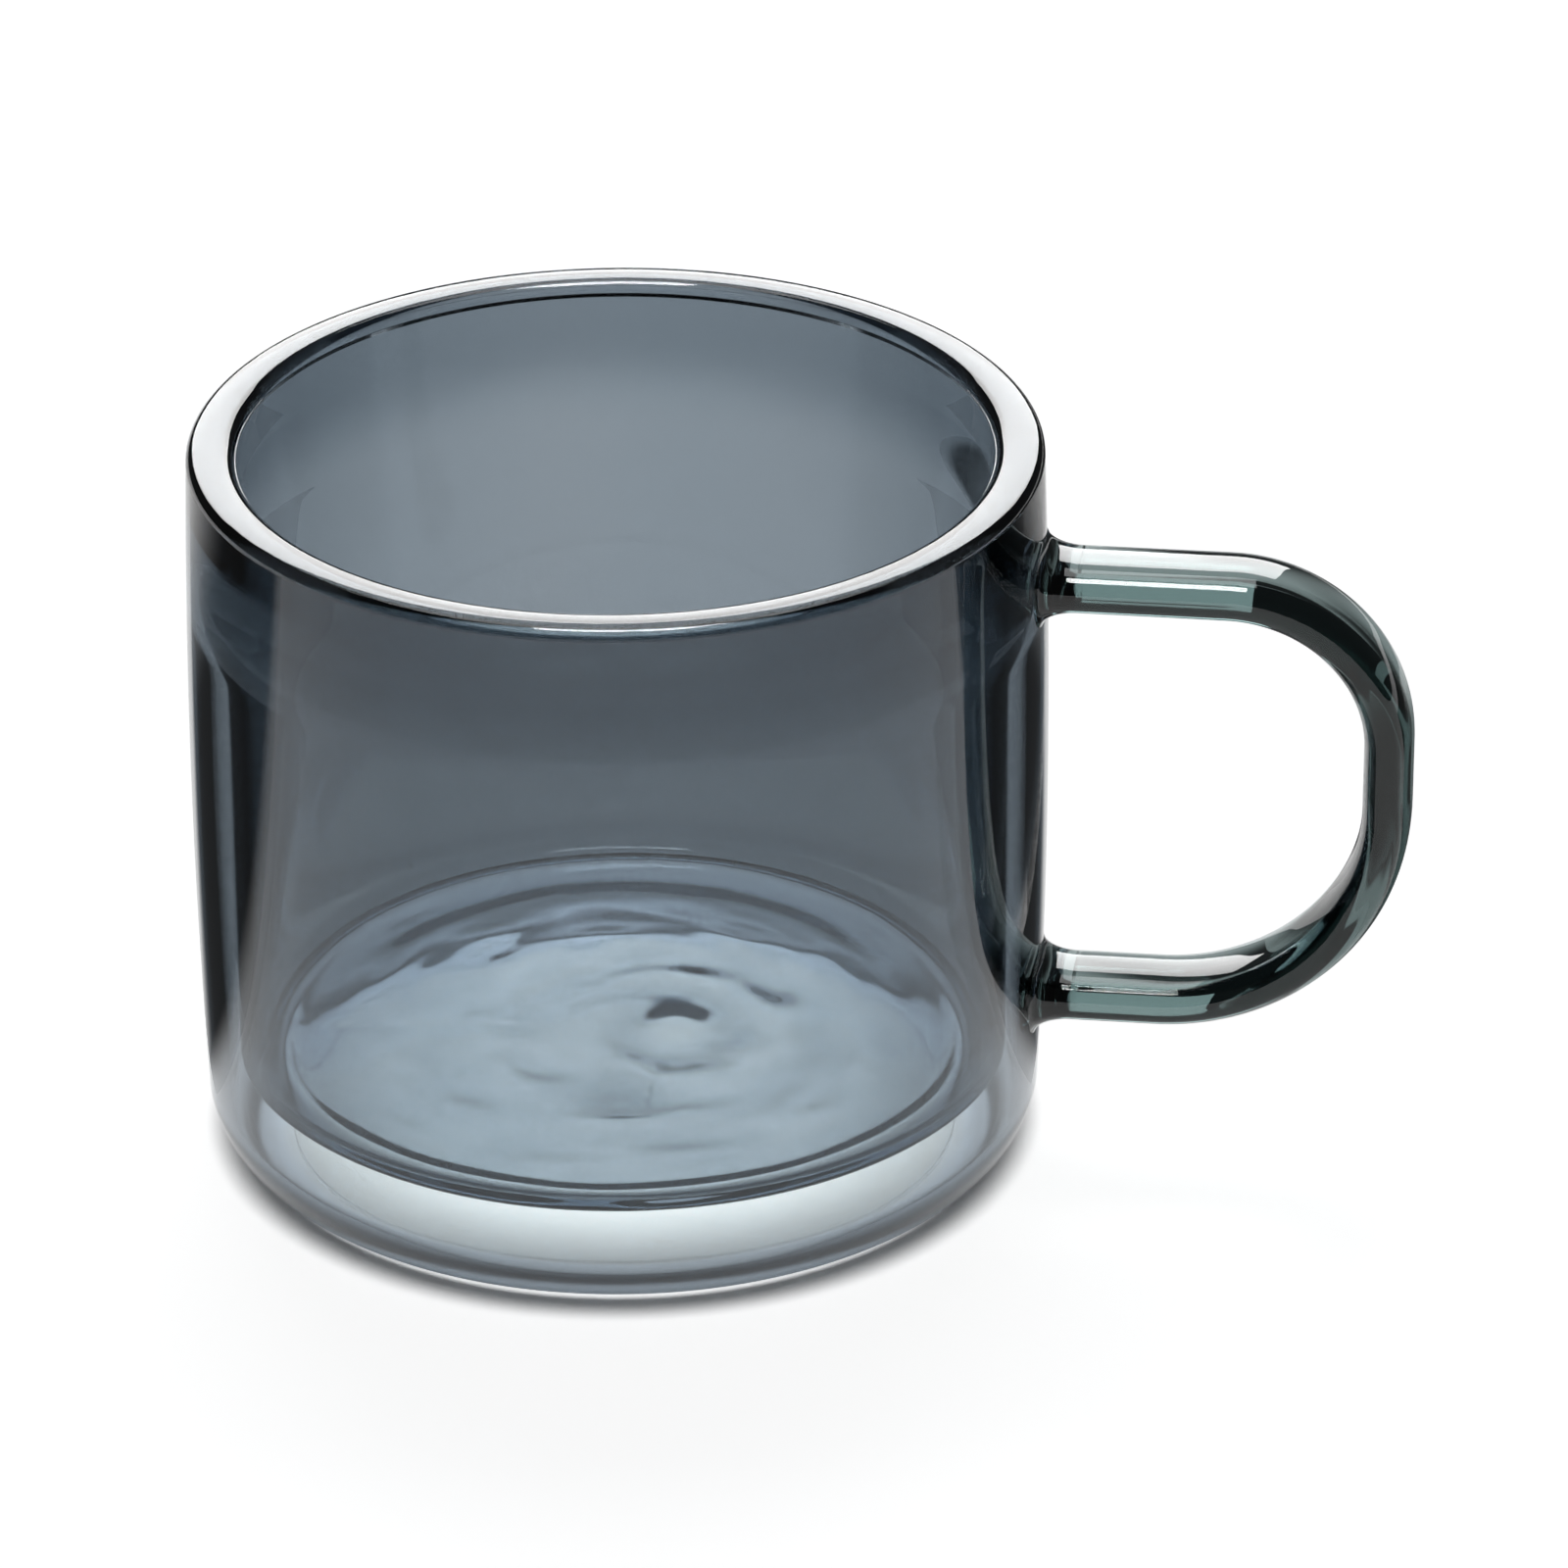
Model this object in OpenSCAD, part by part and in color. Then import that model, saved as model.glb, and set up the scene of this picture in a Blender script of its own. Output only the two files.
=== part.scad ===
// Double walled glass cup with a strap handle.
// The cup stands on z = 0 with its axis on Z, and the handle lies along +X.

/* [Outer body] */
// Diameter of the cup at its widest, without the handle
outer_d = 86; // [76:0.5:100]
// Height from the table to the top of the rim
height = 75.5; // [66:0.5:100]
// Height at which the barrel shaped outer wall is widest
widest_z = 42; // [36:0.5:48]
// How much the radius shrinks from the widest place to the rim
rim_draw = 0.63; // [0.3:0.01:1.2]
// Thickness of the outer wall
outer_wall_t = 2.2; // [1.6:0.1:3]
// Radius of the rounded corner between the outer wall and the base
corner_r = 6.3; // [5:0.1:9]

/* [Base] */
// Thickness of the base disc
base_t = 1.4; // [1:0.1:2.4]
// Radius of the same corner on its inner side, in the air gap
gap_corner_r = 5.2; // [4:0.1:8]
// Width of the flat ledge of the outer wall that carries the base disc
base_ledge = 1; // [0.6:0.1:3]
// Diameter of the vent in the middle of the base, which the seal fills
vent_d = 5; // [3:0.1:8]
// How far the seal's domed head laps over the edge of the vent on the inner side
seal_lap = 2; // [1:0.1:4]
// Height of that head
seal_head_h = 1.1; // [0.6:0.1:2.5]

/* [Inner cup] */
// Air gap between the two walls where the outer wall is widest
wall_gap = 1.8; // [1.5:0.1:4]
// Thickness of the inner wall
inner_wall_t = 1.5; // [1:0.1:2.5]
// Height of the air gap between the base and the inner floor
floor_gap = 8.5; // [5:0.1:14]
// Thickness of the inner floor
floor_t = 1.2; // [0.8:0.1:2.5]
// Radius of the inner cup's bottom corner on the outside
cup_corner_r = 2.6; // [2:0.1:6]
// Radius of the corner between the floor and the wall on the inside
floor_corner_r = 2.4; // [1.5:0.1:6]
// Diameter of the low mark in the floor where the glass was closed
floor_mark_d = 16; // [10:0.5:30]
// Height of that mark
floor_mark_h = 0.6; // [0.3:0.1:1.2]

/* [Rim] */
// Height of the ring in which the two walls are melted together
rim_h = 4.2; // [3.6:0.1:7]
// Outer rounding of the lip
lip_outer_r = 1.2; // [0.8:0.1:1.8]
// Inner rounding of the lip
lip_inner_r = 1.9; // [1:0.1:2.2]

/* [Handle] */
// Width of the glass strap
strap_w = 10.2; // [8:0.1:14]
// Thickness of the glass strap
strap_t = 4.9; // [3.5:0.1:6.5]
// Distance from the wall at its widest to the middle of the strap at its furthest
handle_reach = 34.1; // [28:0.1:42]
// Distance from the top of the rim down to the middle of the upper run
handle_drop = 12.7; // [11:0.1:16]
// Height of the lower run's middle
lower_run_z = 17.2; // [15:0.1:20]
// Bend radius of the strap's middle line at the top
upper_bend_r = 16.2; // [12:0.1:18]
// Bend radius of the strap's middle line at the bottom
lower_bend_r = 22.6; // [16:0.1:24]
// Distance from the wall to the seam between a weld and the strap
weld_len = 3.4; // [2.6:0.1:5]
// Radius of the flare with which a weld runs out on the wall
weld_flare_r = 1.6; // [0.8:0.1:2.2]

/* [Hidden] */

// Fineness with which circles are drawn
$fn = 180;
// Number of straight stretches in which the gentle bulge of the outer wall is drawn
bulge_steps = 16;
// Fineness to which the places along the bulge are rounded
grain = 0.001;
// How far a cut runs past what it cuts
overrun = 2;

// Colours of the smoke glass: thin walls, the lip, and the thick strap
wall_colour = [0.48, 0.53, 0.57];
lip_colour = [0.78, 0.82, 0.85];
strap_colour = [0.20, 0.25, 0.26];

// The outer wall's face is an arc that swells out to outer_r at widest_z
outer_r = outer_d / 2;
bulge_rise = height - widest_z;
bulge_r = (bulge_rise * bulge_rise + rim_draw * rim_draw) / (2 * rim_draw);
bulge_x = outer_r - bulge_r;

// The inner cup's radii and heights
cup_r = outer_r - outer_wall_t - wall_gap;
bore_r = cup_r - inner_wall_t;
cup_bottom_z = base_t + floor_gap;
floor_z = cup_bottom_z + floor_t;

// The plane on which the rim's ring sits on both walls
rim_seam_z = height - rim_h;

// Middle line of the handle: where the two runs lie too close for both bends, these are tightened alike
upper_run_z = height - handle_drop;
strap_x = outer_r + handle_reach;
bend_share = min(1, (upper_run_z - lower_run_z) / (upper_bend_r + lower_bend_r));
top_r = upper_bend_r * bend_share;
bottom_r = lower_bend_r * bend_share;
upright_h = upper_run_z - lower_run_z - top_r - bottom_r;
strap_flat = strap_w - strap_t;

// Radius of the outer wall's face, moved in by inset, at the height z
function wall_x(inset, z) =
    round((bulge_x + sqrt(pow(bulge_r - inset, 2) - pow(z - widest_z, 2))) / grain) * grain;

// Radius, at the distance up from run_z, of the cone that lies on the outer wall's face at run_z
function cone_x(run_z, up) = wall_x(0, run_z) - up * (run_z - widest_z) / (wall_x(0, run_z) - bulge_x);

// Distance from the axis to the seam between a weld and the strap
function seam_x(run_z) = wall_x(0, run_z) + weld_len;

// Half section of the barrel inside a face moved in by inset, with a flat bottom and a rounded corner
module barrel_section(inset, bottom_z, round_r) {
    low_z = bottom_z + round_r;
    corner_x = wall_x(inset, low_z) - round_r;
    step_h = (height - low_z) / bulge_steps;
    face = [for (k = [0 : bulge_steps]) [wall_x(inset, low_z + k * step_h), low_z + k * step_h]];
    polygon(concat([[0, low_z]], face, [[0, height]]));
    translate([0, bottom_z]) square([corner_x, height - bottom_z]);
    translate([corner_x, low_z]) circle(r = round_r);
}

// Half section of a straight sided cup with a rounded bottom corner
module straight_section(radius, bottom_z, round_r, top_z) {
    difference() {
        translate([0, bottom_z]) square([radius, top_z - bottom_z]);
        difference() {
            translate([radius - round_r, bottom_z - overrun]) square([round_r + overrun, round_r + overrun]);
            translate([radius - round_r, bottom_z + round_r]) circle(r = round_r);
        }
    }
}

// Half section of a low dome of the given diameter and height that rises from base_z
module dome_section(diameter, rise, base_z) {
    dome_r = (diameter * diameter / 4 + rise * rise) / (2 * rise);
    intersection() {
        translate([0, base_z + rise - dome_r]) circle(r = dome_r);
        translate([0, base_z]) square([diameter, rise + overrun]);
    }
}

// Radius of the seam between the outer wall's ledge and the base disc
base_seam_r = min(wall_x(0, corner_r) - corner_r,
                  wall_x(outer_wall_t, base_t + gap_corner_r) - gap_corner_r) - base_ledge;

module outer_wall() {
    color(wall_colour) rotate_extrude() difference() {
        barrel_section(0, 0, corner_r);
        barrel_section(outer_wall_t, base_t, gap_corner_r);
        translate([0, -overrun]) square([base_seam_r, height]);
        translate([0, rim_seam_z]) square([outer_d, height]);
    }
}

module outer_base() {
    color(wall_colour) difference() {
        cylinder(r = base_seam_r, h = base_t);
        translate([0, 0, -overrun]) cylinder(d = vent_d, h = base_t + 2 * overrun);
    }
}

module vent_seal() {
    color(wall_colour) rotate_extrude() {
        square([vent_d / 2, base_t]);
        dome_section(vent_d + 2 * seal_lap, seal_head_h, base_t);
    }
}

module inner_cup() {
    color(wall_colour) rotate_extrude() {
        difference() {
            straight_section(cup_r, cup_bottom_z, cup_corner_r, rim_seam_z);
            straight_section(bore_r, floor_z, floor_corner_r, height);
        }
        dome_section(floor_mark_d, floor_mark_h, floor_z);
    }
}

// The lip: both walls' width wide, rounded on top, with an arched groove over the air gap below
module rim_bead() {
    rim_r = wall_x(0, rim_seam_z);
    groove_r = (wall_x(outer_wall_t, rim_seam_z) - cup_r) / 2;
    outer_round_x = rim_r - lip_outer_r;
    outer_round_z = height - lip_outer_r;
    inner_round_x = bore_r + lip_inner_r;
    inner_round_z = height - lip_inner_r;
    color(lip_colour) rotate_extrude() difference() {
        translate([bore_r, rim_seam_z]) square([rim_r - bore_r, rim_h]);
        translate([cup_r + groove_r, rim_seam_z]) circle(r = groove_r);
        difference() {
            translate([outer_round_x, outer_round_z]) square([lip_outer_r + overrun, lip_outer_r + overrun]);
            translate([outer_round_x, outer_round_z]) circle(r = lip_outer_r);
        }
        difference() {
            translate([0, inner_round_z]) square([inner_round_x, lip_inner_r + overrun]);
            translate([inner_round_x, inner_round_z]) circle(r = lip_inner_r);
        }
    }
}

// Cross section of the strap: thickness along X, width along Y, with half round edges
module strap_section() {
    square([strap_t, strap_flat], center = true);
    for (side = [-1, 1]) translate([0, side * strap_flat / 2]) circle(d = strap_t);
}

// A straight stretch of the strap that runs along +X from the origin
module strap_run(length) {
    rotate([0, 90, 0]) linear_extrude(length) strap_section();
}

// A quarter bend of the strap's middle line about the Y axis, from +X up to +Z
module strap_bend(bend_r) {
    rotate([90, 0, 0]) rotate_extrude(angle = 90) translate([bend_r, 0]) strap_section();
}

module handle() {
    color(strap_colour) {
        translate([seam_x(upper_run_z), 0, upper_run_z]) strap_run(strap_x - top_r - seam_x(upper_run_z));
        translate([strap_x - top_r, 0, upper_run_z - top_r]) strap_bend(top_r);
        if (upright_h > grain)
            translate([strap_x, 0, lower_run_z + bottom_r]) linear_extrude(upright_h) strap_section();
        translate([strap_x - bottom_r, 0, lower_run_z + bottom_r]) mirror([0, 0, 1]) strap_bend(bottom_r);
        translate([seam_x(lower_run_z), 0, lower_run_z]) strap_run(strap_x - bottom_r - seam_x(lower_run_z));
    }
}

// Half outline of a weld: the distance from its middle is X, the distance from the wall is Y
module weld_outline() {
    square([strap_t / 2, weld_len]);
    difference() {
        translate([0, -strap_w]) square([strap_t / 2 + weld_flare_r, strap_w + weld_flare_r]);
        translate([strap_t / 2 + weld_flare_r, weld_flare_r]) circle(r = weld_flare_r);
    }
}

// A flared foot under one end of the strap, cut to the face of the outer wall
module weld(run_z) {
    half_h = strap_t / 2 + weld_flare_r + overrun;
    color(strap_colour) difference() {
        translate([wall_x(0, run_z), 0, run_z]) rotate([0, 90, 0]) {
            for (side = [-1, 1]) translate([0, side * strap_flat / 2, 0]) rotate_extrude() weld_outline();
            rotate([90, 0, 0]) linear_extrude(strap_flat, center = true) {
                weld_outline();
                mirror([1, 0]) weld_outline();
            }
        }
        translate([0, 0, run_z - half_h])
            cylinder(r1 = cone_x(run_z, -half_h), r2 = cone_x(run_z, half_h), h = 2 * half_h);
    }
}

module upper_handle_weld() {
    weld(upper_run_z);
}

module lower_handle_weld() {
    weld(lower_run_z);
}

outer_wall();
outer_base();
vent_seal();
inner_cup();
rim_bead();
handle();
upper_handle_weld();
lower_handle_weld();
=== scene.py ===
# %% [markdown]
# # A double walled glass cup
# The cup is blown from smoke coloured glass: a barrel shaped outer tube, a straight inner cup hung inside
# it, a ring at the lip where both are melted together, and a strap handle with two flared feet.
# The CAD model is loaded first. It fixes the main sizes, and each glass piece below is made again, smooth
# enough to refract cleanly, in the place of its CAD solid.

import math

import bmesh
import bpy
from mathutils import Matrix, Vector, noise


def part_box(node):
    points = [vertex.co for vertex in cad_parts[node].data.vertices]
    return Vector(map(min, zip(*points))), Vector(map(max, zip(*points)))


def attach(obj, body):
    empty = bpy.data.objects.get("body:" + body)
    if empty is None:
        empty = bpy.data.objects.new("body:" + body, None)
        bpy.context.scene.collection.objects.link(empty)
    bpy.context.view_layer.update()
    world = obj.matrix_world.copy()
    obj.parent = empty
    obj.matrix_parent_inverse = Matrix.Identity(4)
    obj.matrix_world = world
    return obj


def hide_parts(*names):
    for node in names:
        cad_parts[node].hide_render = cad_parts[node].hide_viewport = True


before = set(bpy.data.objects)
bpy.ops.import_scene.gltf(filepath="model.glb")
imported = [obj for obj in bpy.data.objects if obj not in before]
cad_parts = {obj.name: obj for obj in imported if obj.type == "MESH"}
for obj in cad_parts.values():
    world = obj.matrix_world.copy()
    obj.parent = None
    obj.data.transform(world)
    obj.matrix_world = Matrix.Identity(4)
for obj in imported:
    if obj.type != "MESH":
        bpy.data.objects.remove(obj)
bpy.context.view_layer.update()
MM = 0.001
print("CAD nodes:", ", ".join(sorted(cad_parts)))

# %% [markdown]
# ## The camera
# The photograph looks down on the cup by 27 degrees with a long lens, and the handle points a little
# towards the viewer. The camera could be aimed with a Track To constraint, but the cup isn't in the middle
# of the picture. So its axes are worked out in turn: aim at the cup, pan and tilt until the cup stands left
# of the middle, then roll by under a degree.

# %% Camera
FRAME_PX = 1600
FOCAL_PX = 9500.0
CUP_PX = Vector((632.794, 800.162))
ELEVATION = math.radians(27.424)
ROLL = math.radians(-0.756)
HANDLE_TURN = math.radians(8.2)
EYE_DISTANCE = 935.963 * MM
AIM_HEIGHT = 37 * MM
SENSOR_WIDTH = 36
CLIP_END = 50

back = Vector((
    math.sin(HANDLE_TURN) * math.cos(ELEVATION),
    -math.cos(HANDLE_TURN) * math.cos(ELEVATION),
    math.sin(ELEVATION),
))
right = Vector((math.cos(HANDLE_TURN), math.sin(HANDLE_TURN), 0))
ahead = -back
pan = math.atan2(FRAME_PX / 2 - CUP_PX.x, FOCAL_PX)
tilt = math.atan2((FRAME_PX / 2 - CUP_PX.y) * math.cos(pan), FOCAL_PX)
up = right.cross(ahead)
panned = ahead * math.cos(pan) + right * math.sin(pan)
side = right * math.cos(pan) - ahead * math.sin(pan)
tilted = panned * math.cos(tilt) - up * math.sin(tilt)
top = up * math.cos(tilt) + panned * math.sin(tilt)
rolled_side = side * math.cos(ROLL) + top * math.sin(ROLL)
rolled_top = top * math.cos(ROLL) - side * math.sin(ROLL)

lens = bpy.data.cameras.new("long_lens")
lens.sensor_width = SENSOR_WIDTH
lens.lens = SENSOR_WIDTH * FOCAL_PX / FRAME_PX
lens.clip_end = CLIP_END
camera = bpy.data.objects.new("camera", lens)
bpy.context.collection.objects.link(camera)
eye = back * EYE_DISTANCE + Vector((0, 0, AIM_HEIGHT))
turned = Matrix((rolled_side, rolled_top, -tilted)).transposed().to_4x4()
camera.matrix_world = Matrix.Translation(eye) @ turned
bpy.context.scene.camera = camera
print(f"lens {lens.lens:.1f} mm, eye at", [round(c, 3) for c in eye])

# %% [markdown]
# ## Sizes
# Everything turned on the lathe is drawn as a line of radius and height, in millimetres. The main sizes
# come from the boxes of the CAD nodes, so that the glass follows the CAD model if that is resized. The wall
# thicknesses and the round corners can't be read from a box and are written here.

# %% Sizes from the CAD model
cup_low, cup_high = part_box("inner_cup")
base_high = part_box("outer_base")[1]
belly_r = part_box("outer_wall")[1].y / MM
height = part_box("rim_bead")[1].z / MM
cup_r = cup_high.y / MM
cup_bottom_z = cup_low.z / MM
base_seam_r = base_high.y / MM
base_t = base_high.z / MM

outer_wall_t = 2.2
inner_wall_t = 1.5
floor_t = 1.2
widest_z = 42.0
rim_draw = 0.63
corner_r = 6.3
gap_corner_r = 5.2
lip_h = 1.15
bore_r = cup_r - inner_wall_t
floor_z = cup_bottom_z + floor_t
lip_seam_z = height - lip_h
bulge_r = ((height - widest_z) ** 2 + rim_draw**2) / (2 * rim_draw)
bulge_x = belly_r - bulge_r
# Fused pieces overlap by a hair, so that light passes the seam as it passes solid glass.
HAIR = 0.03


def wall_radius(z, inset=0.0):
    """Radius of the barrel at a height, on its outer face or a little inside it."""
    return bulge_x + math.sqrt((bulge_r - inset) ** 2 - (z - widest_z) ** 2)


print(f"cup {2 * belly_r:.1f} across, {height:.1f} tall, bore {2 * bore_r:.1f}, floor at {floor_z:.1f} mm")

# %% [markdown]
# ## Drawing and turning a profile
# A glass lathe turns a tube in the flame, so most pieces are rounds. In Blender a round could come from the
# Screw modifier, but the spin operator makes the curves of the profile too: it swings one vertex about a
# point and leaves a chain of edges behind. A straight stretch is an extruded vertex. Next to a curve it
# gets a short step at each end, which keeps the smooth shading true on the long straight face.

# %% Helpers for profiles
EASE = 0.15
ROUND_STEPS = 256
MERGE_DISTANCE = 1e-7


def start_profile(x, z):
    """Open a drawing with one vertex at a radius and height."""
    bm = bmesh.new()
    return bm, bmesh.ops.create_vert(bm, co=(x * MM, 0, z * MM))["vert"][0]


def draw_to(bm, vert, x, z):
    """Extrude the last vertex of the profile to a new radius and height."""
    new = bmesh.ops.extrude_vert_indiv(bm, verts=[vert])["verts"][0]
    bmesh.ops.translate(bm, verts=[new], vec=(x * MM - vert.co.x, 0, z * MM - vert.co.z))
    return new


def draw_eased(bm, vert, x, z, stops=1):
    """Draw a straight stretch with a short step at both ends and even stops between them."""
    start = Vector((vert.co.x / MM, vert.co.z / MM))
    run = Vector((x, z)) - start
    step = run.normalized() * min(EASE, run.length / 3)
    vert = draw_to(bm, vert, *(start + step))
    middle = run - 2 * step
    for i in range(1, stops + 1):
        vert = draw_to(bm, vert, *(start + step + middle * i / stops))
    return draw_to(bm, vert, x, z)


def spin(bm, geom, x, z, degrees, steps):
    """Swing geometry about a point, anticlockwise where the angle is positive; return the last vertices."""
    made = bmesh.ops.spin(
        bm,
        geom=geom,
        cent=(x * MM, 0, z * MM),
        axis=(0, -1, 0),
        angle=math.radians(degrees),
        steps=steps,
    )
    return [g for g in made["geom_last"] if isinstance(g, bmesh.types.BMVert)]


def swing(bm, vert, x, z, degrees, steps):
    """Swing the last vertex of the profile about a point."""
    return spin(bm, [vert], x, z, degrees, steps)[0]


def close_profile(bm, first, last):
    """Join the two ends of a profile that doesn't start and end on the axis."""
    bmesh.ops.contextual_create(bm, geom=[last, first])


def turn_round(bm):
    """Turn the profile about the cup's axis and merge its seam and its poles."""
    bmesh.ops.spin(
        bm,
        geom=bm.verts[:] + bm.edges[:],
        cent=(0, 0, 0),
        axis=(0, 0, 1),
        angle=2 * math.pi,
        steps=ROUND_STEPS,
        use_merge=True,
    )
    bmesh.ops.remove_doubles(bm, verts=bm.verts, dist=MERGE_DISTANCE)
    bmesh.ops.recalc_face_normals(bm, faces=bm.faces)


print("rounds are turned in", ROUND_STEPS, "steps")

# %% [markdown]
# ## From a drawing to a piece
# Each piece is one closed mesh in the place of its CAD node. Its faces are shaded smooth, but an edge that
# turns by more than the sharp angle stays a corner.

# %% Helpers that turn a drawing into a piece
SHARP = math.radians(40)


def mesh_object(bm, name):
    """Object that holds the finished mesh."""
    mesh = bpy.data.meshes.new(name)
    bm.to_mesh(mesh)
    bm.free()
    thing = bpy.data.objects.new(name, mesh)
    bpy.context.collection.objects.link(thing)
    return thing


def finish_piece(bm, name, node, glass):
    """Shade the mesh smooth up to its corners and put it in the place of its CAD node."""
    for face in bm.faces:
        face.smooth = True
    for edge in bm.edges:
        edge.smooth = len(edge.link_faces) == 2 and edge.calc_face_angle() < SHARP
    open_edges = sum(len(edge.link_faces) != 2 for edge in bm.edges)
    piece = mesh_object(bm, name)
    piece.data.materials.append(glass)
    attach(piece, "root")
    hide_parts(node)
    print(f"{name}: {len(piece.data.polygons)} faces, {open_edges} open edges")


print(f"edges over {math.degrees(SHARP):.0f} degrees stay sharp")

# %% [markdown]
# ## The glass
# Smoke glass is clear glass with a grey blue stain all through it, so thick places are darker than thin
# ones. A coloured surface would tint every wall alike. So the surface stays clear and a Volume Absorption
# node takes light away along the path, which also turns the edges nearly black, as they are on the real
# cup. Drawn glass is never quite even: a faint bump makes long soft waves in it. The inner cup holds a
# little more stain than the outer tube, and the thick strap of the handle less than both, with a green cast.

# %% Glass materials
GLASS_IOR = 1.47
SMOKE = (0.30, 0.375, 0.435, 1)
SMOKE_DENSITY = 520.0
WALL_DENSITY = 0.85 * SMOKE_DENSITY
CUP_DENSITY = 1.2 * SMOKE_DENSITY
STRAP = (0.305, 0.415, 0.41, 1)
STRAP_DENSITY = 345.0
WHITE = (1, 1, 1, 1)
FAINT_TINT = (0.95, 0.97, 0.98, 1)
DULLEST = 0.012
WAVE_DETAIL = 2
WAVE_ROUGHNESS = 0.4
LONG_WAVES, LONG_WAVE_HEIGHT = (60, 60, 12), 0.00002
EVEN_WAVES, EVEN_WAVE_HEIGHT = (70, 70, 70), 0.00004
STRAP_WAVES, STRAP_WAVE_HEIGHT = (40, 90, 40), 0.00003


def make_glass(name, wave_scale, wave_height, colour, density):
    """Clear glass surface with soft drawn waves, and stained glass inside it."""
    glass = bpy.data.materials.new(name)
    glass.use_nodes = True
    nodes, links = glass.node_tree.nodes, glass.node_tree.links
    skin = nodes["Principled BSDF"]
    skin.inputs["Transmission Weight"].default_value = 1
    skin.inputs["IOR"].default_value = GLASS_IOR
    place = nodes.new("ShaderNodeTexCoord")
    stretch = nodes.new("ShaderNodeMapping")
    stretch.inputs["Scale"].default_value = wave_scale
    waves = nodes.new("ShaderNodeTexNoise")
    waves.inputs["Scale"].default_value = 1
    waves.inputs["Detail"].default_value = WAVE_DETAIL
    waves.inputs["Roughness"].default_value = WAVE_ROUGHNESS
    bump = nodes.new("ShaderNodeBump")
    bump.inputs["Strength"].default_value = 1
    bump.inputs["Distance"].default_value = wave_height
    links.new(place.outputs["Object"], stretch.inputs["Vector"])
    links.new(stretch.outputs["Vector"], waves.inputs["Vector"])
    links.new(waves.outputs["Fac"], bump.inputs["Height"])
    links.new(bump.outputs["Normal"], skin.inputs["Normal"])
    tint = nodes.new("ShaderNodeValToRGB")
    tint.color_ramp.elements[0].color = FAINT_TINT
    tint.color_ramp.elements[1].color = WHITE
    links.new(waves.outputs["Fac"], tint.inputs["Fac"])
    links.new(tint.outputs["Color"], skin.inputs["Base Color"])
    polish = nodes.new("ShaderNodeMapRange")
    polish.inputs["To Min"].default_value = 0
    polish.inputs["To Max"].default_value = DULLEST
    links.new(waves.outputs["Fac"], polish.inputs["Value"])
    links.new(polish.outputs["Result"], skin.inputs["Roughness"])
    stain = nodes.new("ShaderNodeVolumeAbsorption")
    stain.inputs["Color"].default_value = colour
    stain.inputs["Density"].default_value = density
    links.new(stain.outputs["Volume"], nodes["Material Output"].inputs["Volume"])
    return glass


wall_glass = make_glass("smoke_glass_drawn", LONG_WAVES, LONG_WAVE_HEIGHT, SMOKE, WALL_DENSITY)
cup_glass = make_glass("smoke_glass_blown", LONG_WAVES, LONG_WAVE_HEIGHT, SMOKE, CUP_DENSITY)
base_glass = make_glass("smoke_glass_pressed", EVEN_WAVES, EVEN_WAVE_HEIGHT, SMOKE, SMOKE_DENSITY)
strap_glass = make_glass("smoke_glass_strap", STRAP_WAVES, STRAP_WAVE_HEIGHT, STRAP, STRAP_DENSITY)
print("glasses:", [m.name for m in (wall_glass, cup_glass, base_glass, strap_glass)])

# %% [markdown]
# ## The outer wall
# The outer tube swells a little at mid height and rolls under at the bottom to a narrow ledge, on which the
# base disc is sealed. Its outer and inner faces are two circles about the same far centre, so the wall is
# even from the corner up to where it closes in on the inner cup below the lip.

# %% Outer wall
taper_z = 58.0
fused_z = 70.0
TAPER_STEPS = 30
CORNER_STEPS = 28
BARREL_STEPS = 40


def smooth_share(share):
    """Share from 0 to 1, eased at both ends."""
    return share * share * (3 - 2 * share)


def gap_radius(z):
    """Radius of the outer wall's inner face where it closes in on the inner cup, below the rim."""
    share = smooth_share((z - taper_z) / (fused_z - taper_z))
    return wall_radius(z, outer_wall_t) * (1 - share) + (cup_r - HAIR) * share


corner_x = bulge_x + math.sqrt((bulge_r - corner_r) ** 2 - (widest_z - corner_r) ** 2)
corner_lean = math.degrees(math.atan2(corner_r - widest_z, corner_x - bulge_x))
seam_lean = math.degrees(math.asin((lip_seam_z - widest_z) / bulge_r))
gap_z = base_t + gap_corner_r
gap_bulge_r = bulge_r - outer_wall_t
gap_corner_x = bulge_x + math.sqrt((gap_bulge_r - gap_corner_r) ** 2 - (widest_z - gap_z) ** 2)
gap_lean = math.degrees(math.atan2(gap_z - widest_z, gap_corner_x - bulge_x))
taper_lean = math.degrees(math.asin((taper_z - widest_z) / gap_bulge_r))

bm, first = start_profile(base_seam_r, 0)
at = draw_eased(bm, first, corner_x, 0)
at = swing(bm, at, corner_x, corner_r, 90 + corner_lean, CORNER_STEPS)
at = swing(bm, at, bulge_x, widest_z, seam_lean - corner_lean, BARREL_STEPS)
at = draw_to(bm, at, cup_r - HAIR, lip_seam_z)
at = draw_eased(bm, at, cup_r - HAIR, fused_z)
for step in range(1, TAPER_STEPS + 1):
    z = fused_z - (fused_z - taper_z) * step / TAPER_STEPS
    at = draw_to(bm, at, gap_radius(z), z)
at = swing(bm, at, bulge_x, widest_z, gap_lean - taper_lean, BARREL_STEPS)
at = swing(bm, at, gap_corner_x, gap_z, -90 - gap_lean, CORNER_STEPS)
at = draw_eased(bm, at, base_seam_r, base_t)
close_profile(bm, first, at)
turn_round(bm)
finish_piece(bm, "drawn_outer_wall", "outer_wall", wall_glass)

# %% [markdown]
# ## The base and its vent seal
# A flat disc closes the outer tube. While the glass is hot the air in the gap has to get out, so the disc
# keeps a small hole until last, and a bead of glass then closes it and leaves a low dome inside.

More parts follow.
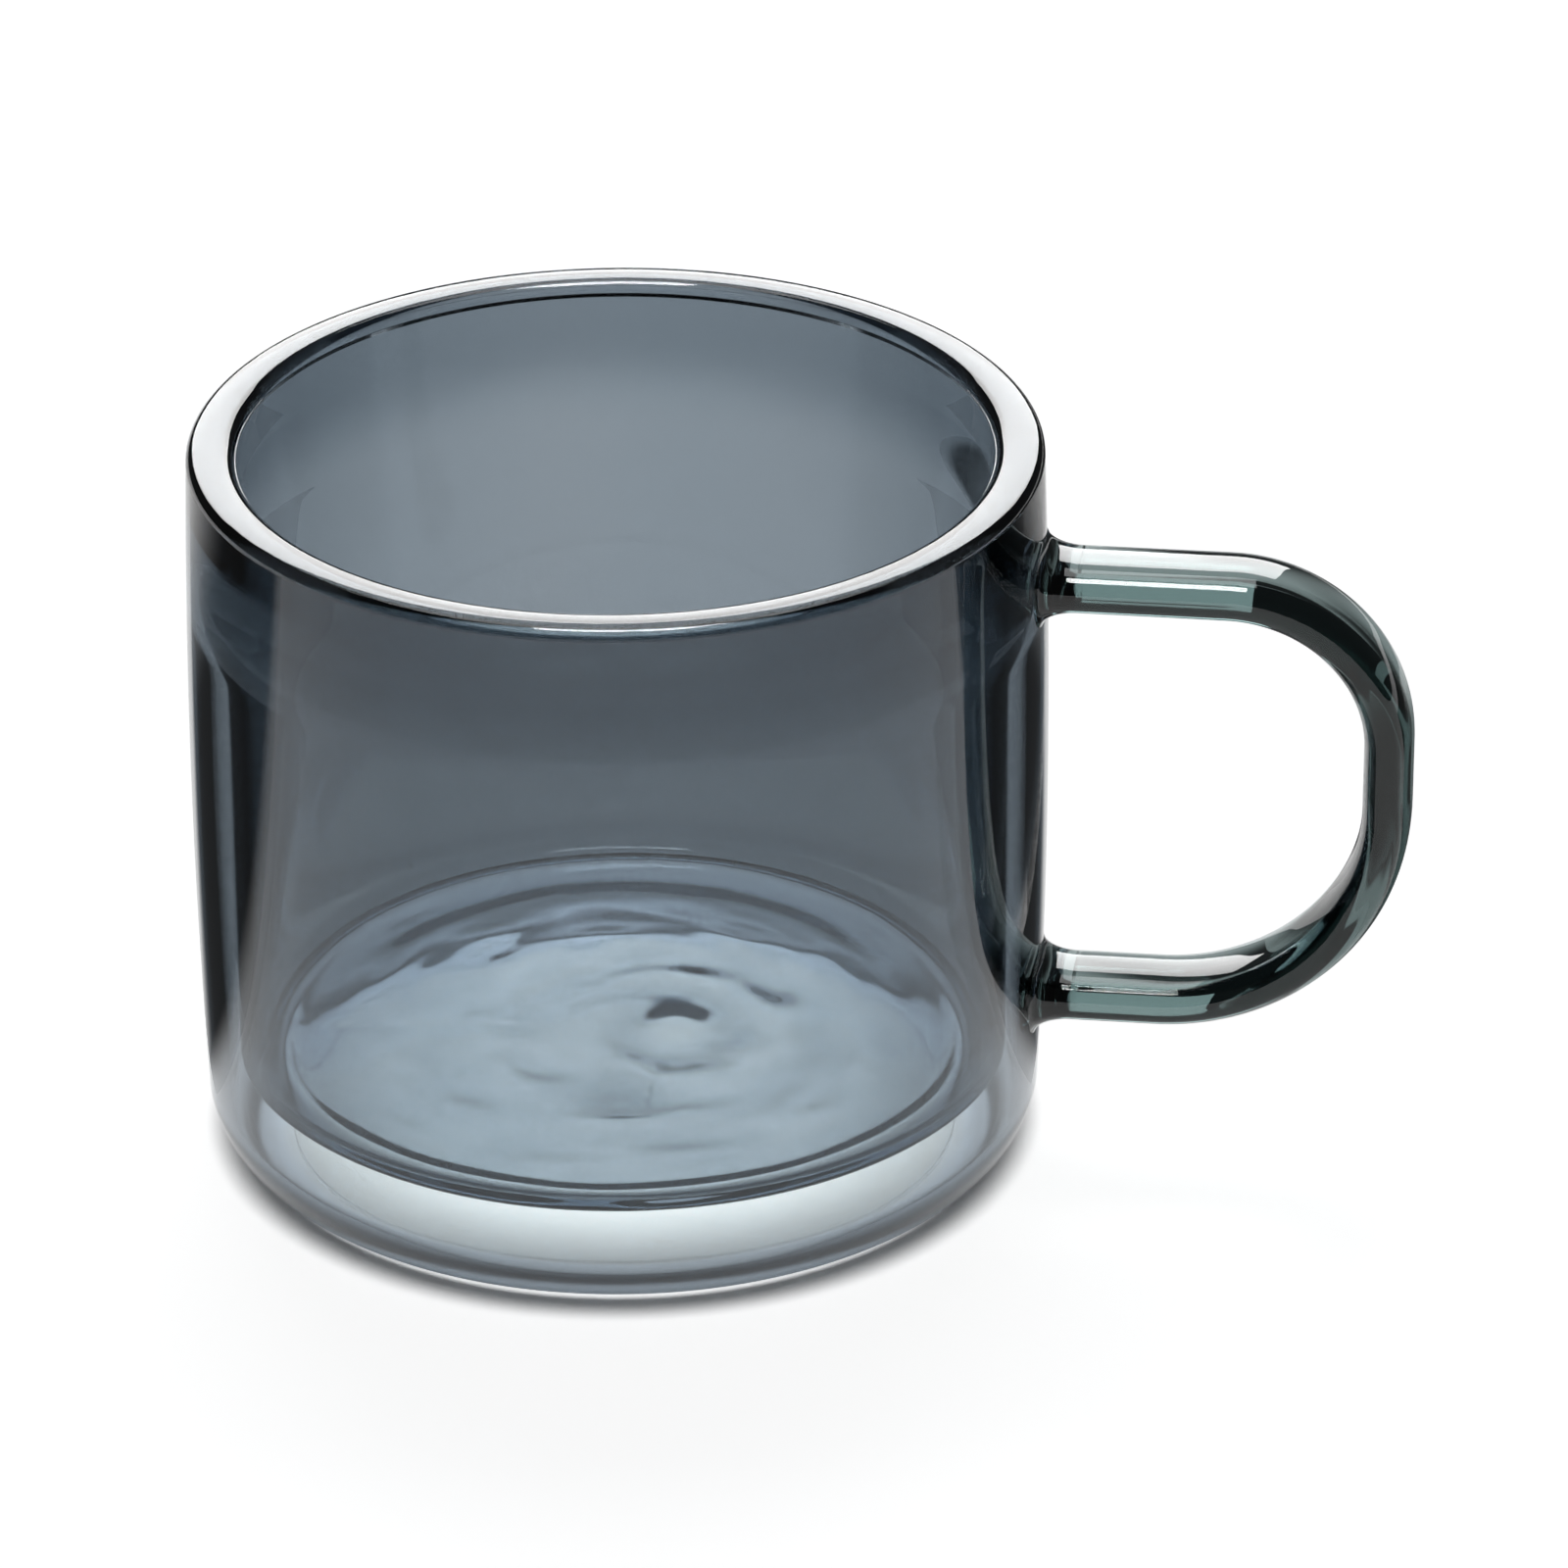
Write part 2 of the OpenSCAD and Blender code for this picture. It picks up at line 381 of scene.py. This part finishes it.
# %% Outer base
VENT_R = 2.5
bm, first = start_profile(VENT_R, 0)
at = draw_to(bm, first, base_seam_r + HAIR, 0)
at = draw_to(bm, at, base_seam_r + HAIR, base_t)
at = draw_to(bm, at, VENT_R, base_t)
close_profile(bm, first, at)
turn_round(bm)
finish_piece(bm, "sealed_outer_base", "outer_base", base_glass)

# %% Vent seal
SEAL_RISE = 0.5
SEAL_STEPS = 24
seal_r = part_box("vent_seal")[1].y / MM
seal_z = base_t - HAIR
bm, at = start_profile(0, 0)
at = draw_to(bm, at, VENT_R + HAIR, 0)
at = draw_to(bm, at, VENT_R + HAIR, seal_z)
at = draw_to(bm, at, seal_r, seal_z)
for step in range(1, SEAL_STEPS + 1):
    share = step / SEAL_STEPS
    at = draw_to(bm, at, seal_r * (1 - share), seal_z + SEAL_RISE * math.sin(share * math.pi / 2) ** 2)
turn_round(bm)
finish_piece(bm, "vent_seal_bead", "vent_seal", base_glass)

# %% [markdown]
# ## The inner cup's floor
# Beside the middle of the floor a low knob is left where the bottom was closed, and the soft glass set in
# rings round it. A bump texture could fake the rings, but stained glass shows its thickness. So the floor's
# upper face is moved up and down by a smooth noise, and its lower face is set off from it by a thickness:
# thick places are dark and thin places are pale. Here X runs to the camera's right and Y away from it, and
# lengths are in millimetres. The upper face comes first.

# %% Ripples of the floor's upper face
KNOB = Vector((5.4, -1.6))
KNOB_R, KNOB_RISE = 4.8, 0.33
SWELL_LENGTH, SWELL_SEED, SWELL_RISE = 14, 3.1, 0.22
RING_PITCH, RING_FADE, RING_RISE, RING_WANDER = 9, 10, 0.10, 1.5
CALM_BAND = (3, 10)


def hump(distance, width):
    """Smooth hump that is 1 in its middle and runs out over a width."""
    return math.exp(-((distance / width) ** 2))


def ease(value, start, end):
    """Smooth step from 0 at the start to 1 at the end."""
    return smooth_share(max(0.0, min(1.0, (value - start) / (end - start))))


def floor_ripple(x, y):
    """Height by which the floor's upper face leaves its plane. It is calm near the wall."""
    swell = noise.noise(Vector((x / SWELL_LENGTH, y / SWELL_LENGTH, SWELL_SEED)))
    far = (Vector((x, y)) - KNOB).length + RING_WANDER * swell
    rings = math.cos(2 * math.pi * far / RING_PITCH) * math.exp(-far / RING_FADE)
    rise = SWELL_RISE * swell + RING_RISE * rings + KNOB_RISE * hump(far, KNOB_R)
    return rise * ease(cup_r - math.hypot(x, y), *CALM_BAND)


print(f"knob {floor_ripple(*KNOB):.2f} mm high")

# %% [markdown]
# The thickness adds up from a few simple figures: soft clouds, short streaks round the middle, pale rings
# about the knob, a thick crescent at the back, a thick drop behind the knob and a thin groove by the wall.

# %% Thickness of the floor
PLAIN_T, LEAST_T = 0.8, 0.35
CLOUD_LENGTH, CLOUD_SEED, CLOUD_T = 11, 6.7, 0.2
STREAK_COUNT, STREAK_LENGTH, STREAK_SEED, STREAK_T = 3, 3, 1.3, 0.14
STREAK_BAND = (4, 14)
PALE_PITCH, PALE_FADE, PALE_T, PALE_WANDER = 10, 13, 0.30, 2.5
CRESCENT_R, CRESCENT_SHIFT, CRESCENT_W, CRESCENT_T = 29.6, 1.2, 1.7, 0.55
CRESCENT_BAND = (0.3, 0.75)
DROP_X, DROP_Y, DROP_W, DROP_T = 3.0, 6.8, 2.2, 0.42
DROP_STRETCH, DROP_BEND = 2.6, 0.05
GROOVE_R, GROOVE_W, GROOVE_T = 34.6, 0.9, 0.45
EDGE_BAND = (35.2, 36.9)


def floor_thickness(x, y):
    """Thickness of the floor. At the wall it comes back to the plain floor's thickness."""
    reach = math.hypot(x, y)
    cloud = noise.noise(Vector((x / CLOUD_LENGTH, y / CLOUD_LENGTH, CLOUD_SEED)))
    streak = noise.noise(Vector((math.atan2(y, x) * STREAK_COUNT, reach / STREAK_LENGTH, STREAK_SEED)))
    far = (Vector((x, y)) - KNOB).length + PALE_WANDER * cloud
    behind = ease(y / max(reach, 1), *CRESCENT_BAND)
    drop = Vector(((x - DROP_X) / DROP_STRETCH, y - DROP_Y + DROP_BEND * (x - DROP_X) ** 2))
    thick = PLAIN_T + CLOUD_T * cloud + STREAK_T * streak * ease(reach, *STREAK_BAND)
    thick -= PALE_T * math.cos(2 * math.pi * far / PALE_PITCH) * math.exp(-far / PALE_FADE)
    thick += behind * CRESCENT_T * hump(reach - CRESCENT_R - CRESCENT_SHIFT * behind, CRESCENT_W)
    thick += DROP_T * hump(drop.length, DROP_W)
    thick -= GROOVE_T * hump(reach - GROOVE_R, GROOVE_W)
    edge = ease(reach, *EDGE_BAND)
    return max(LEAST_T, thick) * (1 - edge) + floor_t * edge


print(f"floor {floor_thickness(*KNOB):.2f} mm thick at the knob, {floor_t} mm at the wall")

# %% [markdown]
# ## The inner cup
# The inner cup is a straight tube with a tight corner. Its flat floor is drawn with many rings, which the
# two functions above then move.

# %% Inner cup
cup_corner_r = 2.0
floor_corner_r = 1.4
CUP_CORNER_STEPS = 20
FLOOR_RINGS = 60
WALL_STOPS = 12
PLANE_SLACK = 0.01
bm, at = start_profile(0, cup_bottom_z)
at = draw_eased(bm, at, cup_r - cup_corner_r, cup_bottom_z, FLOOR_RINGS)
at = swing(bm, at, cup_r - cup_corner_r, cup_bottom_z + cup_corner_r, 90, CUP_CORNER_STEPS)
at = draw_eased(bm, at, cup_r, lip_seam_z, WALL_STOPS)
at = draw_to(bm, at, bore_r, lip_seam_z)
at = draw_eased(bm, at, bore_r, floor_z + floor_corner_r, WALL_STOPS)
at = swing(bm, at, bore_r - floor_corner_r, floor_z + floor_corner_r, -90, CUP_CORNER_STEPS)
at = draw_eased(bm, at, 0, floor_z, FLOOR_RINGS)
turn_round(bm)

to_camera_axes = Matrix.Rotation(-HANDLE_TURN, 2)
for vert in bm.verts:
    x, y = to_camera_axes @ (vert.co.xy / MM)
    z = vert.co.z / MM
    if z < floor_z + PLANE_SLACK and math.hypot(x, y) < cup_r - cup_corner_r:
        rise = floor_ripple(x, y)
        if z < floor_z - floor_t / 2:
            rise += floor_t - floor_thickness(x, y)
        vert.co.z += rise * MM
bmesh.ops.recalc_face_normals(bm, faces=bm.faces)
finish_piece(bm, "blown_inner_cup", "inner_cup", cup_glass)

# %% [markdown]
# ## The lip
# At the lip the flame melts both walls into one ring. Surface tension rounds it: a low crown on top, a tight
# round outside and a softer one inside. Three arcs that touch each other smoothly draw it.

# %% Rim bead
crown_r = 11.0
lip_outer_r = 1.1
lip_inner_r = 1.5
LIP_STEPS = 14
rim_r = wall_radius(lip_seam_z)
crown_x = (bore_r + rim_r) / 2
crown_z = height - crown_r
seam_z = lip_seam_z - HAIR
lean_out = math.asin((rim_r - crown_x - lip_outer_r) / (crown_r - lip_outer_r))
lean_in = math.asin((crown_x - bore_r - lip_inner_r) / (crown_r - lip_inner_r))
crown = Vector((crown_x, crown_z))
outer_arc = crown + (crown_r - lip_outer_r) * Vector((math.sin(lean_out), math.cos(lean_out)))
inner_arc = crown + (crown_r - lip_inner_r) * Vector((-math.sin(lean_in), math.cos(lean_in)))
bm, first = start_profile(rim_r, seam_z)
at = draw_to(bm, first, rim_r, outer_arc.y)
at = swing(bm, at, *outer_arc, 90 - math.degrees(lean_out), LIP_STEPS)
at = swing(bm, at, *crown, math.degrees(lean_out + lean_in), LIP_STEPS)
at = swing(bm, at, *inner_arc, 90 - math.degrees(lean_in), LIP_STEPS)
at = draw_to(bm, at, bore_r, seam_z)
close_profile(bm, first, at)
turn_round(bm)
finish_piece(bm, "melted_rim_bead", "rim_bead", wall_glass)

# %% [markdown]
# ## The handle
# The handle is a flattened rod, bent hot into a D. A section ring is extruded along the straight runs and
# spun about the centres of the two bends, so the strap keeps its section all the way round.

# %% Helpers for the strap
strap_t = 4.9
strap_w = 10.2
SECTION_STEPS = 112
SECTION_POWER = 2 / 2.6


def strap_section(bm, x, z):
    """Ring of the strap's section, a flattened round that stands across the X axis."""
    ring = bmesh.ops.create_circle(bm, segments=SECTION_STEPS, radius=1)["verts"]
    for vert in ring:
        wide = math.copysign(abs(vert.co.x) ** SECTION_POWER, vert.co.x)
        thick = math.copysign(abs(vert.co.y) ** SECTION_POWER, vert.co.y)
        vert.co = (x * MM, wide * (strap_w / 2) * MM, (z + thick * (strap_t / 2)) * MM)
    return ring


def edges_between(verts):
    """Edges that have both ends in a list of vertices."""
    known = set(verts)
    return [e for v in verts for e in v.link_edges if e.other_vert(v) in known and e.verts[0] == v]


def push_ring(bm, ring, vec, steps=1):
    """Extrude a ring of vertices in a straight line and return the new ring."""
    for _ in range(steps):
        made = bmesh.ops.extrude_edge_only(bm, edges=edges_between(ring))["geom"]
        ring = [g for g in made if isinstance(g, bmesh.types.BMVert)]
        bmesh.ops.translate(bm, verts=ring, vec=Vector(vec) * MM / steps)
    return ring


def push_eased(bm, ring, run, steps):
    """Extrude a ring along X by a run, with a short step at both ends."""
    short = math.copysign(EASE, run)
    ring = push_ring(bm, ring, (short, 0, 0))
    ring = push_ring(bm, ring, (run - 2 * short, 0, 0), steps)
    return push_ring(bm, ring, (short, 0, 0))


def bend_ring(bm, ring, x, z, degrees, steps):
    """Spin a ring of vertices about a bend's centre and return the last ring."""
    return spin(bm, ring + edges_between(ring), x, z, degrees, steps)


print(f"strap {strap_w} by {strap_t} mm")

# %% [markdown]
# The strap runs from the upper foot round both bends to the lower foot. The lower bend is the wider one.

# %% Handle strap
handle_low, handle_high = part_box("handle")
upper_z = handle_high.z / MM - strap_t / 2
lower_z = handle_low.z / MM + strap_t / 2
strap_x = handle_high.x / MM - strap_t / 2
upper_seam_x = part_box("upper_handle_weld")[1].x / MM
lower_seam_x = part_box("lower_handle_weld")[1].x / MM
upper_bend_r = 16.2
lower_bend_r = 22.6
UPPER_RUN_STEPS, UPPER_BEND_STEPS = 6, 40
UPRIGHT_STEPS = 6
LOWER_RUN_STEPS, LOWER_BEND_STEPS = 4, 48
upper_bend = Vector((strap_x - upper_bend_r, upper_z - upper_bend_r))
lower_bend = Vector((strap_x - lower_bend_r, lower_z + lower_bend_r))
bm = bmesh.new()
ring = start_ring = strap_section(bm, upper_seam_x - HAIR, upper_z)
ring = push_eased(bm, ring, upper_bend.x - upper_seam_x + HAIR, UPPER_RUN_STEPS)
ring = bend_ring(bm, ring, *upper_bend, -90, UPPER_BEND_STEPS)
ring = push_ring(bm, ring, (0, 0, lower_bend.y - upper_bend.y), UPRIGHT_STEPS)
ring = bend_ring(bm, ring, *lower_bend, -90, LOWER_BEND_STEPS)
ring = push_eased(bm, ring, lower_seam_x - HAIR - lower_bend.x, LOWER_RUN_STEPS)
bmesh.ops.edgeloop_fill(bm, edges=edges_between(start_ring) + edges_between(ring))
bmesh.ops.remove_doubles(bm, verts=bm.verts, dist=MERGE_DISTANCE)
bmesh.ops.recalc_face_normals(bm, faces=bm.faces)
finish_piece(bm, "bent_handle", "handle", strap_glass)

# %% [markdown]
# ## The handle's feet
# Where the strap was pressed on the hot wall its end spread into a flared foot. Each foot starts as the
# strap's section and is extruded towards the wall in steps. Each step is a little larger than the last, and
# lies closer to the barrel's curve, until the foot sits on the wall. A few smaller rings then close its end.

# %% Feet of the handle
FLARE = 1.6
FOOT_STEPS = 14
CLOSING_SHRINKS = (0.8, 0.7, 0.5)


def barrel_x(y, z):
    """Place of the barrel's face along X, at a height and a distance across, in millimetres."""
    return math.sqrt(wall_radius(z) ** 2 - y * y)


def set_on_barrel(ring, seam_x, share):
    """Slide each vertex of a ring along X, by a share of the way from the strap's seam to the barrel."""
    for vert in ring:
        wall = barrel_x(vert.co.y / MM, vert.co.z / MM) - HAIR
        vert.co.x = (seam_x + (wall - seam_x) * share) * MM


def make_foot(name, node, seam_x, z):
    """Flared foot between the strap's end and the barrel."""
    bm = bmesh.new()
    ring = start = strap_section(bm, seam_x, z)
    centre = Matrix.Translation((0, 0, -z * MM))
    grown = 0.0
    for step in range(1, FOOT_STEPS + 1):
        share = step / FOOT_STEPS
        grow = FLARE * (1 - math.sqrt(1 - share**2))
        ring = push_ring(bm, ring, (0, 0, 0))
        wider = (strap_w / 2 + grow) / (strap_w / 2 + grown)
        thicker = (strap_t / 2 + grow) / (strap_t / 2 + grown)
        bmesh.ops.scale(bm, verts=ring, vec=(1, wider, thicker), space=centre)
        set_on_barrel(ring, seam_x, share)
        grown = grow
    for shrink in CLOSING_SHRINKS:
        ring = push_ring(bm, ring, (0, 0, 0))
        bmesh.ops.scale(bm, verts=ring, vec=(1, shrink, shrink), space=centre)
        set_on_barrel(ring, seam_x, 1)
    bmesh.ops.pointmerge(bm, verts=ring, merge_co=((barrel_x(0, z) - HAIR) * MM, 0, z * MM))
    bmesh.ops.edgeloop_fill(bm, edges=edges_between(start))
    bmesh.ops.recalc_face_normals(bm, faces=bm.faces)
    finish_piece(bm, name, node, strap_glass)


make_foot("upper_handle_foot", "upper_handle_weld", upper_seam_x, upper_z)
make_foot("lower_handle_foot", "lower_handle_weld", lower_seam_x, lower_z)

# %% [markdown]
# ## The table
# Glass shows what surrounds it more than it shows itself. The table is white paper that glows evenly, as a
# light table does, and it takes a soft shadow from the lamp. A round spot under the foot is a pool of light
# painted into the table's glow, as from a lamp under a frosted pane, because the cup's floor is seen through
# four layers of dark glass. The painted spot is warmer than the rest, as such a lamp is. Under the rolled
# corner of the cup lies a ring of painted contact shadow: the real table is dark where the cup nearly touches
# it, and a sheet that glows would not be.

# %% Table
TABLE_R, TABLE_STEPS = 3, 96
TABLE_DROP = 0.1 * MM
PAPER = (0.85, 0.85, 0.85, 1)
bm = bmesh.new()
bmesh.ops.create_circle(bm, cap_ends=True, segments=TABLE_STEPS, radius=TABLE_R)
bmesh.ops.translate(bm, verts=bm.verts, vec=(0, 0, -TABLE_DROP))
floor = mesh_object(bm, "floor")
paper = bpy.data.materials.new("white_table")
paper.use_nodes = True
floor.data.materials.append(paper)
sheet = paper.node_tree.nodes["Principled BSDF"]
sheet.inputs["Base Color"].default_value = PAPER
sheet.inputs["Roughness"].default_value = 1
sheet.inputs["Specular IOR Level"].default_value = 0
print(f"table {TABLE_DROP / MM:.1f} mm under the foot")

# %% [markdown]
# How strongly a sheet glows is a number at each of its points. A Map Range node with smooth steps makes that
# number fade over a span, so that no hard edge is mirrored in the glass.

# %% Helpers for glowing sheets


def smooth_fade(tree, value, span, levels):
    """Value that fades smoothly from one level to another over a span of the given value."""
    fade = tree.nodes.new("ShaderNodeMapRange")
    fade.interpolation_type = "SMOOTHSTEP"
    for name, number in zip(("From Min", "From Max", "To Min", "To Max"), (*span, *levels)):
        fade.inputs[name].default_value = number
    tree.links.new(value, fade.inputs["Value"])
    return fade.outputs["Result"]


def combine(tree, operation, first, second, clamp=False):
    """Result of a Math node on two values."""
    node = tree.nodes.new("ShaderNodeMath")
    node.operation = operation
    node.use_clamp = clamp
    tree.links.new(first, node.inputs[0])
    tree.links.new(second, node.inputs[1])
    return node.outputs["Value"]


def round_fade(tree, centre, radius, span, levels):
    """Fade over the edge of a circle. The span is in shares of its radius, Y runs away from the camera."""
    place = tree.nodes.new("ShaderNodeTexCoord")
    circle = tree.nodes.new("ShaderNodeMapping")
    circle.vector_type = "TEXTURE"
    turn = Matrix.Rotation(HANDLE_TURN, 2)
    circle.inputs["Location"].default_value = (*(turn @ Vector(centre)), 0)
    circle.inputs["Rotation"].default_value = (0, 0, HANDLE_TURN)
    circle.inputs["Scale"].default_value = (radius, radius, 1)
    reach = tree.nodes.new("ShaderNodeVectorMath")
    reach.operation = "LENGTH"
    tree.links.new(place.outputs["Object"], circle.inputs["Vector"])
    tree.links.new(circle.outputs["Vector"], reach.inputs[0])
    return smooth_fade(tree, reach.outputs["Value"], span, levels)


print("fades run from one level to another over a span")

# %% [markdown]
# Four round fades make the table's glow: the painted bright spot, the two edges of the painted contact
# shadow ring, and the warm light of the spot.

# %% Glow of the table
GLOW = 0.90
# Glow of the painted pool of light under the foot.
UNDER_FOOT = 5.0
# Glow left in the ring of painted contact shadow under the cup's rolled corner.
CONTACT_SHADE = 0.06
MIDDLE = (0, 0)
SPOT_CENTRE, SPOT_R, SPOT_SPAN = (0, 0.008), 0.036, (0.6, 1.2)
WARM_LIGHT, WARM_SPAN = (1, 0.93, 0.82, 1), (0.9, 1.0)
CONTACT_IN_R, CONTACT_IN_SPAN = 0.038, (0.985, 1.02)
CONTACT_OUT_R, CONTACT_OUT_SPAN = 0.041, (0.95, 1.06)
tree = paper.node_tree
glow = round_fade(tree, SPOT_CENTRE, SPOT_R, SPOT_SPAN, (UNDER_FOOT, GLOW))
# These two fades paint the contact shadow ring into the table's glow.
inside = round_fade(tree, MIDDLE, CONTACT_IN_R, CONTACT_IN_SPAN, (1, CONTACT_SHADE))
outside = round_fade(tree, MIDDLE, CONTACT_OUT_R, CONTACT_OUT_SPAN, (0, 1))
shade = combine(tree, "ADD", inside, outside, clamp=True)
tree.links.new(combine(tree, "MULTIPLY", shade, glow), sheet.inputs["Emission Strength"])
warmth = tree.nodes.new("ShaderNodeMix")
warmth.data_type = "RGBA"
warmth.inputs["A"].default_value = WHITE
warmth.inputs["B"].default_value = WARM_LIGHT
tree.links.new(round_fade(tree, MIDDLE, SPOT_R, WARM_SPAN, (1, 0)), warmth.inputs["Factor"])
tree.links.new(warmth.outputs["Result"], sheet.inputs["Emission Color"])
print("table glows at", GLOW, "and at", UNDER_FOOT, "under the foot")

# %% [markdown]
# ## The lamps
# Three soft boxes hang behind and above the cup. The low one is where the lens sees it mirrored in the lip
# and on top of the handle. The upper one is what the lower half of the strap shows, since light entering
# there is thrown up by the strap's underside. The one straight above looks into the cup. The first and the
# last are there for their mirror images alone and are hidden from the paper, so that it stays evenly white.

# %% Lamps and surrounding light
LAMP_AIM = Vector((0, 0, 0.03))
REAR_SIZE, REAR_WATTS, REAR_DISTANCE = (0.9, 0.45), 7.6, 1.2
UPPER_SIZE, UPPER_WATTS, UPPER_HEIGHT = (0.9, 0.75), 5.5, 1.55
OVERHEAD_SIZE, OVERHEAD_WATTS, OVERHEAD_PLACE = (0.3, 0.3), 6.0, Vector((0, 0.05, 0.9))
ROOM_COLOUR, ROOM_STRENGTH = (0.9, 0.95, 1, 1), 0.05


def soft_lamp(name, place, size, watts):
    """Rectangular soft lamp at a place, turned towards the cup."""
    lamp = bpy.data.lights.new(name, "AREA")
    lamp.shape = "RECTANGLE"
    lamp.size, lamp.size_y = size
    lamp.energy = watts
    rig = bpy.data.objects.new(name, lamp)
    bpy.context.collection.objects.link(rig)
    aimed = (LAMP_AIM - place).to_track_quat("-Z", "Y").to_matrix().to_4x4()
    rig.matrix_world = Matrix.Translation(place) @ aimed
    return rig


rear_place = Vector((-back.x, -back.y, back.z)) * REAR_DISTANCE
rear = soft_lamp("rear_softbox", rear_place, REAR_SIZE, REAR_WATTS)
rear.visible_diffuse = False
upper_place = Vector((-back.x, -back.y, UPPER_HEIGHT))
upper = soft_lamp("upper_softbox", upper_place, UPPER_SIZE, UPPER_WATTS)
overhead = soft_lamp("overhead_softbox", OVERHEAD_PLACE, OVERHEAD_SIZE, OVERHEAD_WATTS)
overhead.visible_diffuse = False
world = bpy.data.worlds.new("studio")
bpy.context.scene.world = world
world.use_nodes = True
room = world.node_tree.nodes["Background"]
room.inputs["Color"].default_value = ROOM_COLOUR
room.inputs["Strength"].default_value = ROOM_STRENGTH
print("lamps:", rear.name, upper.name, overhead.name)

# %% [markdown]
# ## Black felt beside the cup
# The sides of a glass on a white table mirror the white and vanish against it. Photographers lay black felt
# beside the glass, just out of the picture, and the sides mirror that and turn dark. Here the felt lies
# where the curved sides and the bend of the handle look. Only the glass sees it: it is hidden from the
# camera, and it casts no shadow. Where it ends in view of the glass it fades into the table's white, so that
# no hard line shows.

# %% Felt cards
FELT = (0.015, 0.016, 0.017, 1)
FELT_GLOW = 0.04
CARD_LIFT = 0.0002


def felt_card(name, turn, low, high, fades):
    """Felt card for the glass to mirror. Each fade has a direction on the card, a span and two levels."""
    bm = bmesh.new()
    bmesh.ops.create_grid(bm, x_segments=1, y_segments=1, size=0.5)
    bmesh.ops.scale(bm, verts=bm.verts, vec=(high[0] - low[0], high[1] - low[1], 1))
    middle = ((low[0] + high[0]) / 2, (low[1] + high[1]) / 2, CARD_LIFT)
    bmesh.ops.translate(bm, verts=bm.verts, vec=middle)
    card = mesh_object(bm, name)
    card.rotation_euler.z = HANDLE_TURN + turn
    card.visible_camera = False
    card.visible_diffuse = False
    card.visible_shadow = False
    felt = bpy.data.materials.new(name + "_felt")
    felt.use_nodes = True
    card.data.materials.append(felt)
    tree = felt.node_tree
    skin = tree.nodes["Principled BSDF"]
    skin.inputs["Base Color"].default_value = FELT
    skin.inputs["Specular IOR Level"].default_value = 0
    skin.inputs["Emission Color"].default_value = WHITE
    place = tree.nodes.new("ShaderNodeTexCoord")
    level = None
    for way, span, levels in fades:
        along = tree.nodes.new("ShaderNodeVectorMath")
        along.operation = "DOT_PRODUCT"
        along.inputs[1].default_value = way
        tree.links.new(place.outputs["Object"], along.inputs[0])
        fade = smooth_fade(tree, along.outputs["Value"], span, levels)
        level = combine(tree, "MAXIMUM", level, fade) if level else fade
    tree.links.new(level, skin.inputs["Emission Strength"])
    print(name, "glows at", FELT_GLOW, "and fades at", len(fades), "edges")


# %% [markdown]
# The inner edges of the two side cards slant outwards, away from the camera. So the outer wall mirrors black,
# while the gap between the walls looks past the felt at white paper. The far card lies to the right, behind
# the handle.

# %% Lay the cards
# A side card's own Y axis runs away from the camera, and the far card's to the right.
CARD_Y = (0, 1, 0)
DARKEN, LIGHTEN = (GLOW, FELT_GLOW), (FELT_GLOW, GLOW)
SIDE_NEAR_SPAN, SIDE_FAR_SPAN, SIDE_SLANT_SPAN = (0.002, 0.014), (0.080, 0.155), (-0.043, -0.033)
SLANT_X, SLANT_Y = 0.925, 0.38
SIDE_X = (0.046, 0.20)
SIDE_Y = (0.002, 0.16)
FAR_TURN = math.radians(-90)
FAR_LOW, FAR_HIGH, FAR_SPAN = (-0.70, 0.072), (-0.005, 0.45), (0.072, 0.082)
for name, hand in (("left_card", -1), ("right_card", 1)):
    side_fades = [
        (CARD_Y, SIDE_NEAR_SPAN, DARKEN),
        (CARD_Y, SIDE_FAR_SPAN, LIGHTEN),
        ((-hand * SLANT_X, SLANT_Y, 0), SIDE_SLANT_SPAN, LIGHTEN),
    ]
    low_x, high_x = sorted(hand * x for x in SIDE_X)
    felt_card(name, 0, (low_x, SIDE_Y[0]), (high_x, SIDE_Y[1]), side_fades)
felt_card("far_card", FAR_TURN, FAR_LOW, FAR_HIGH, [(CARD_Y, FAR_SPAN, DARKEN)])

# %% [markdown]
# ## The colour view
# The picture is shown through the Standard view transform.

# %% View transform
bpy.context.scene.view_settings.view_transform = "Standard"
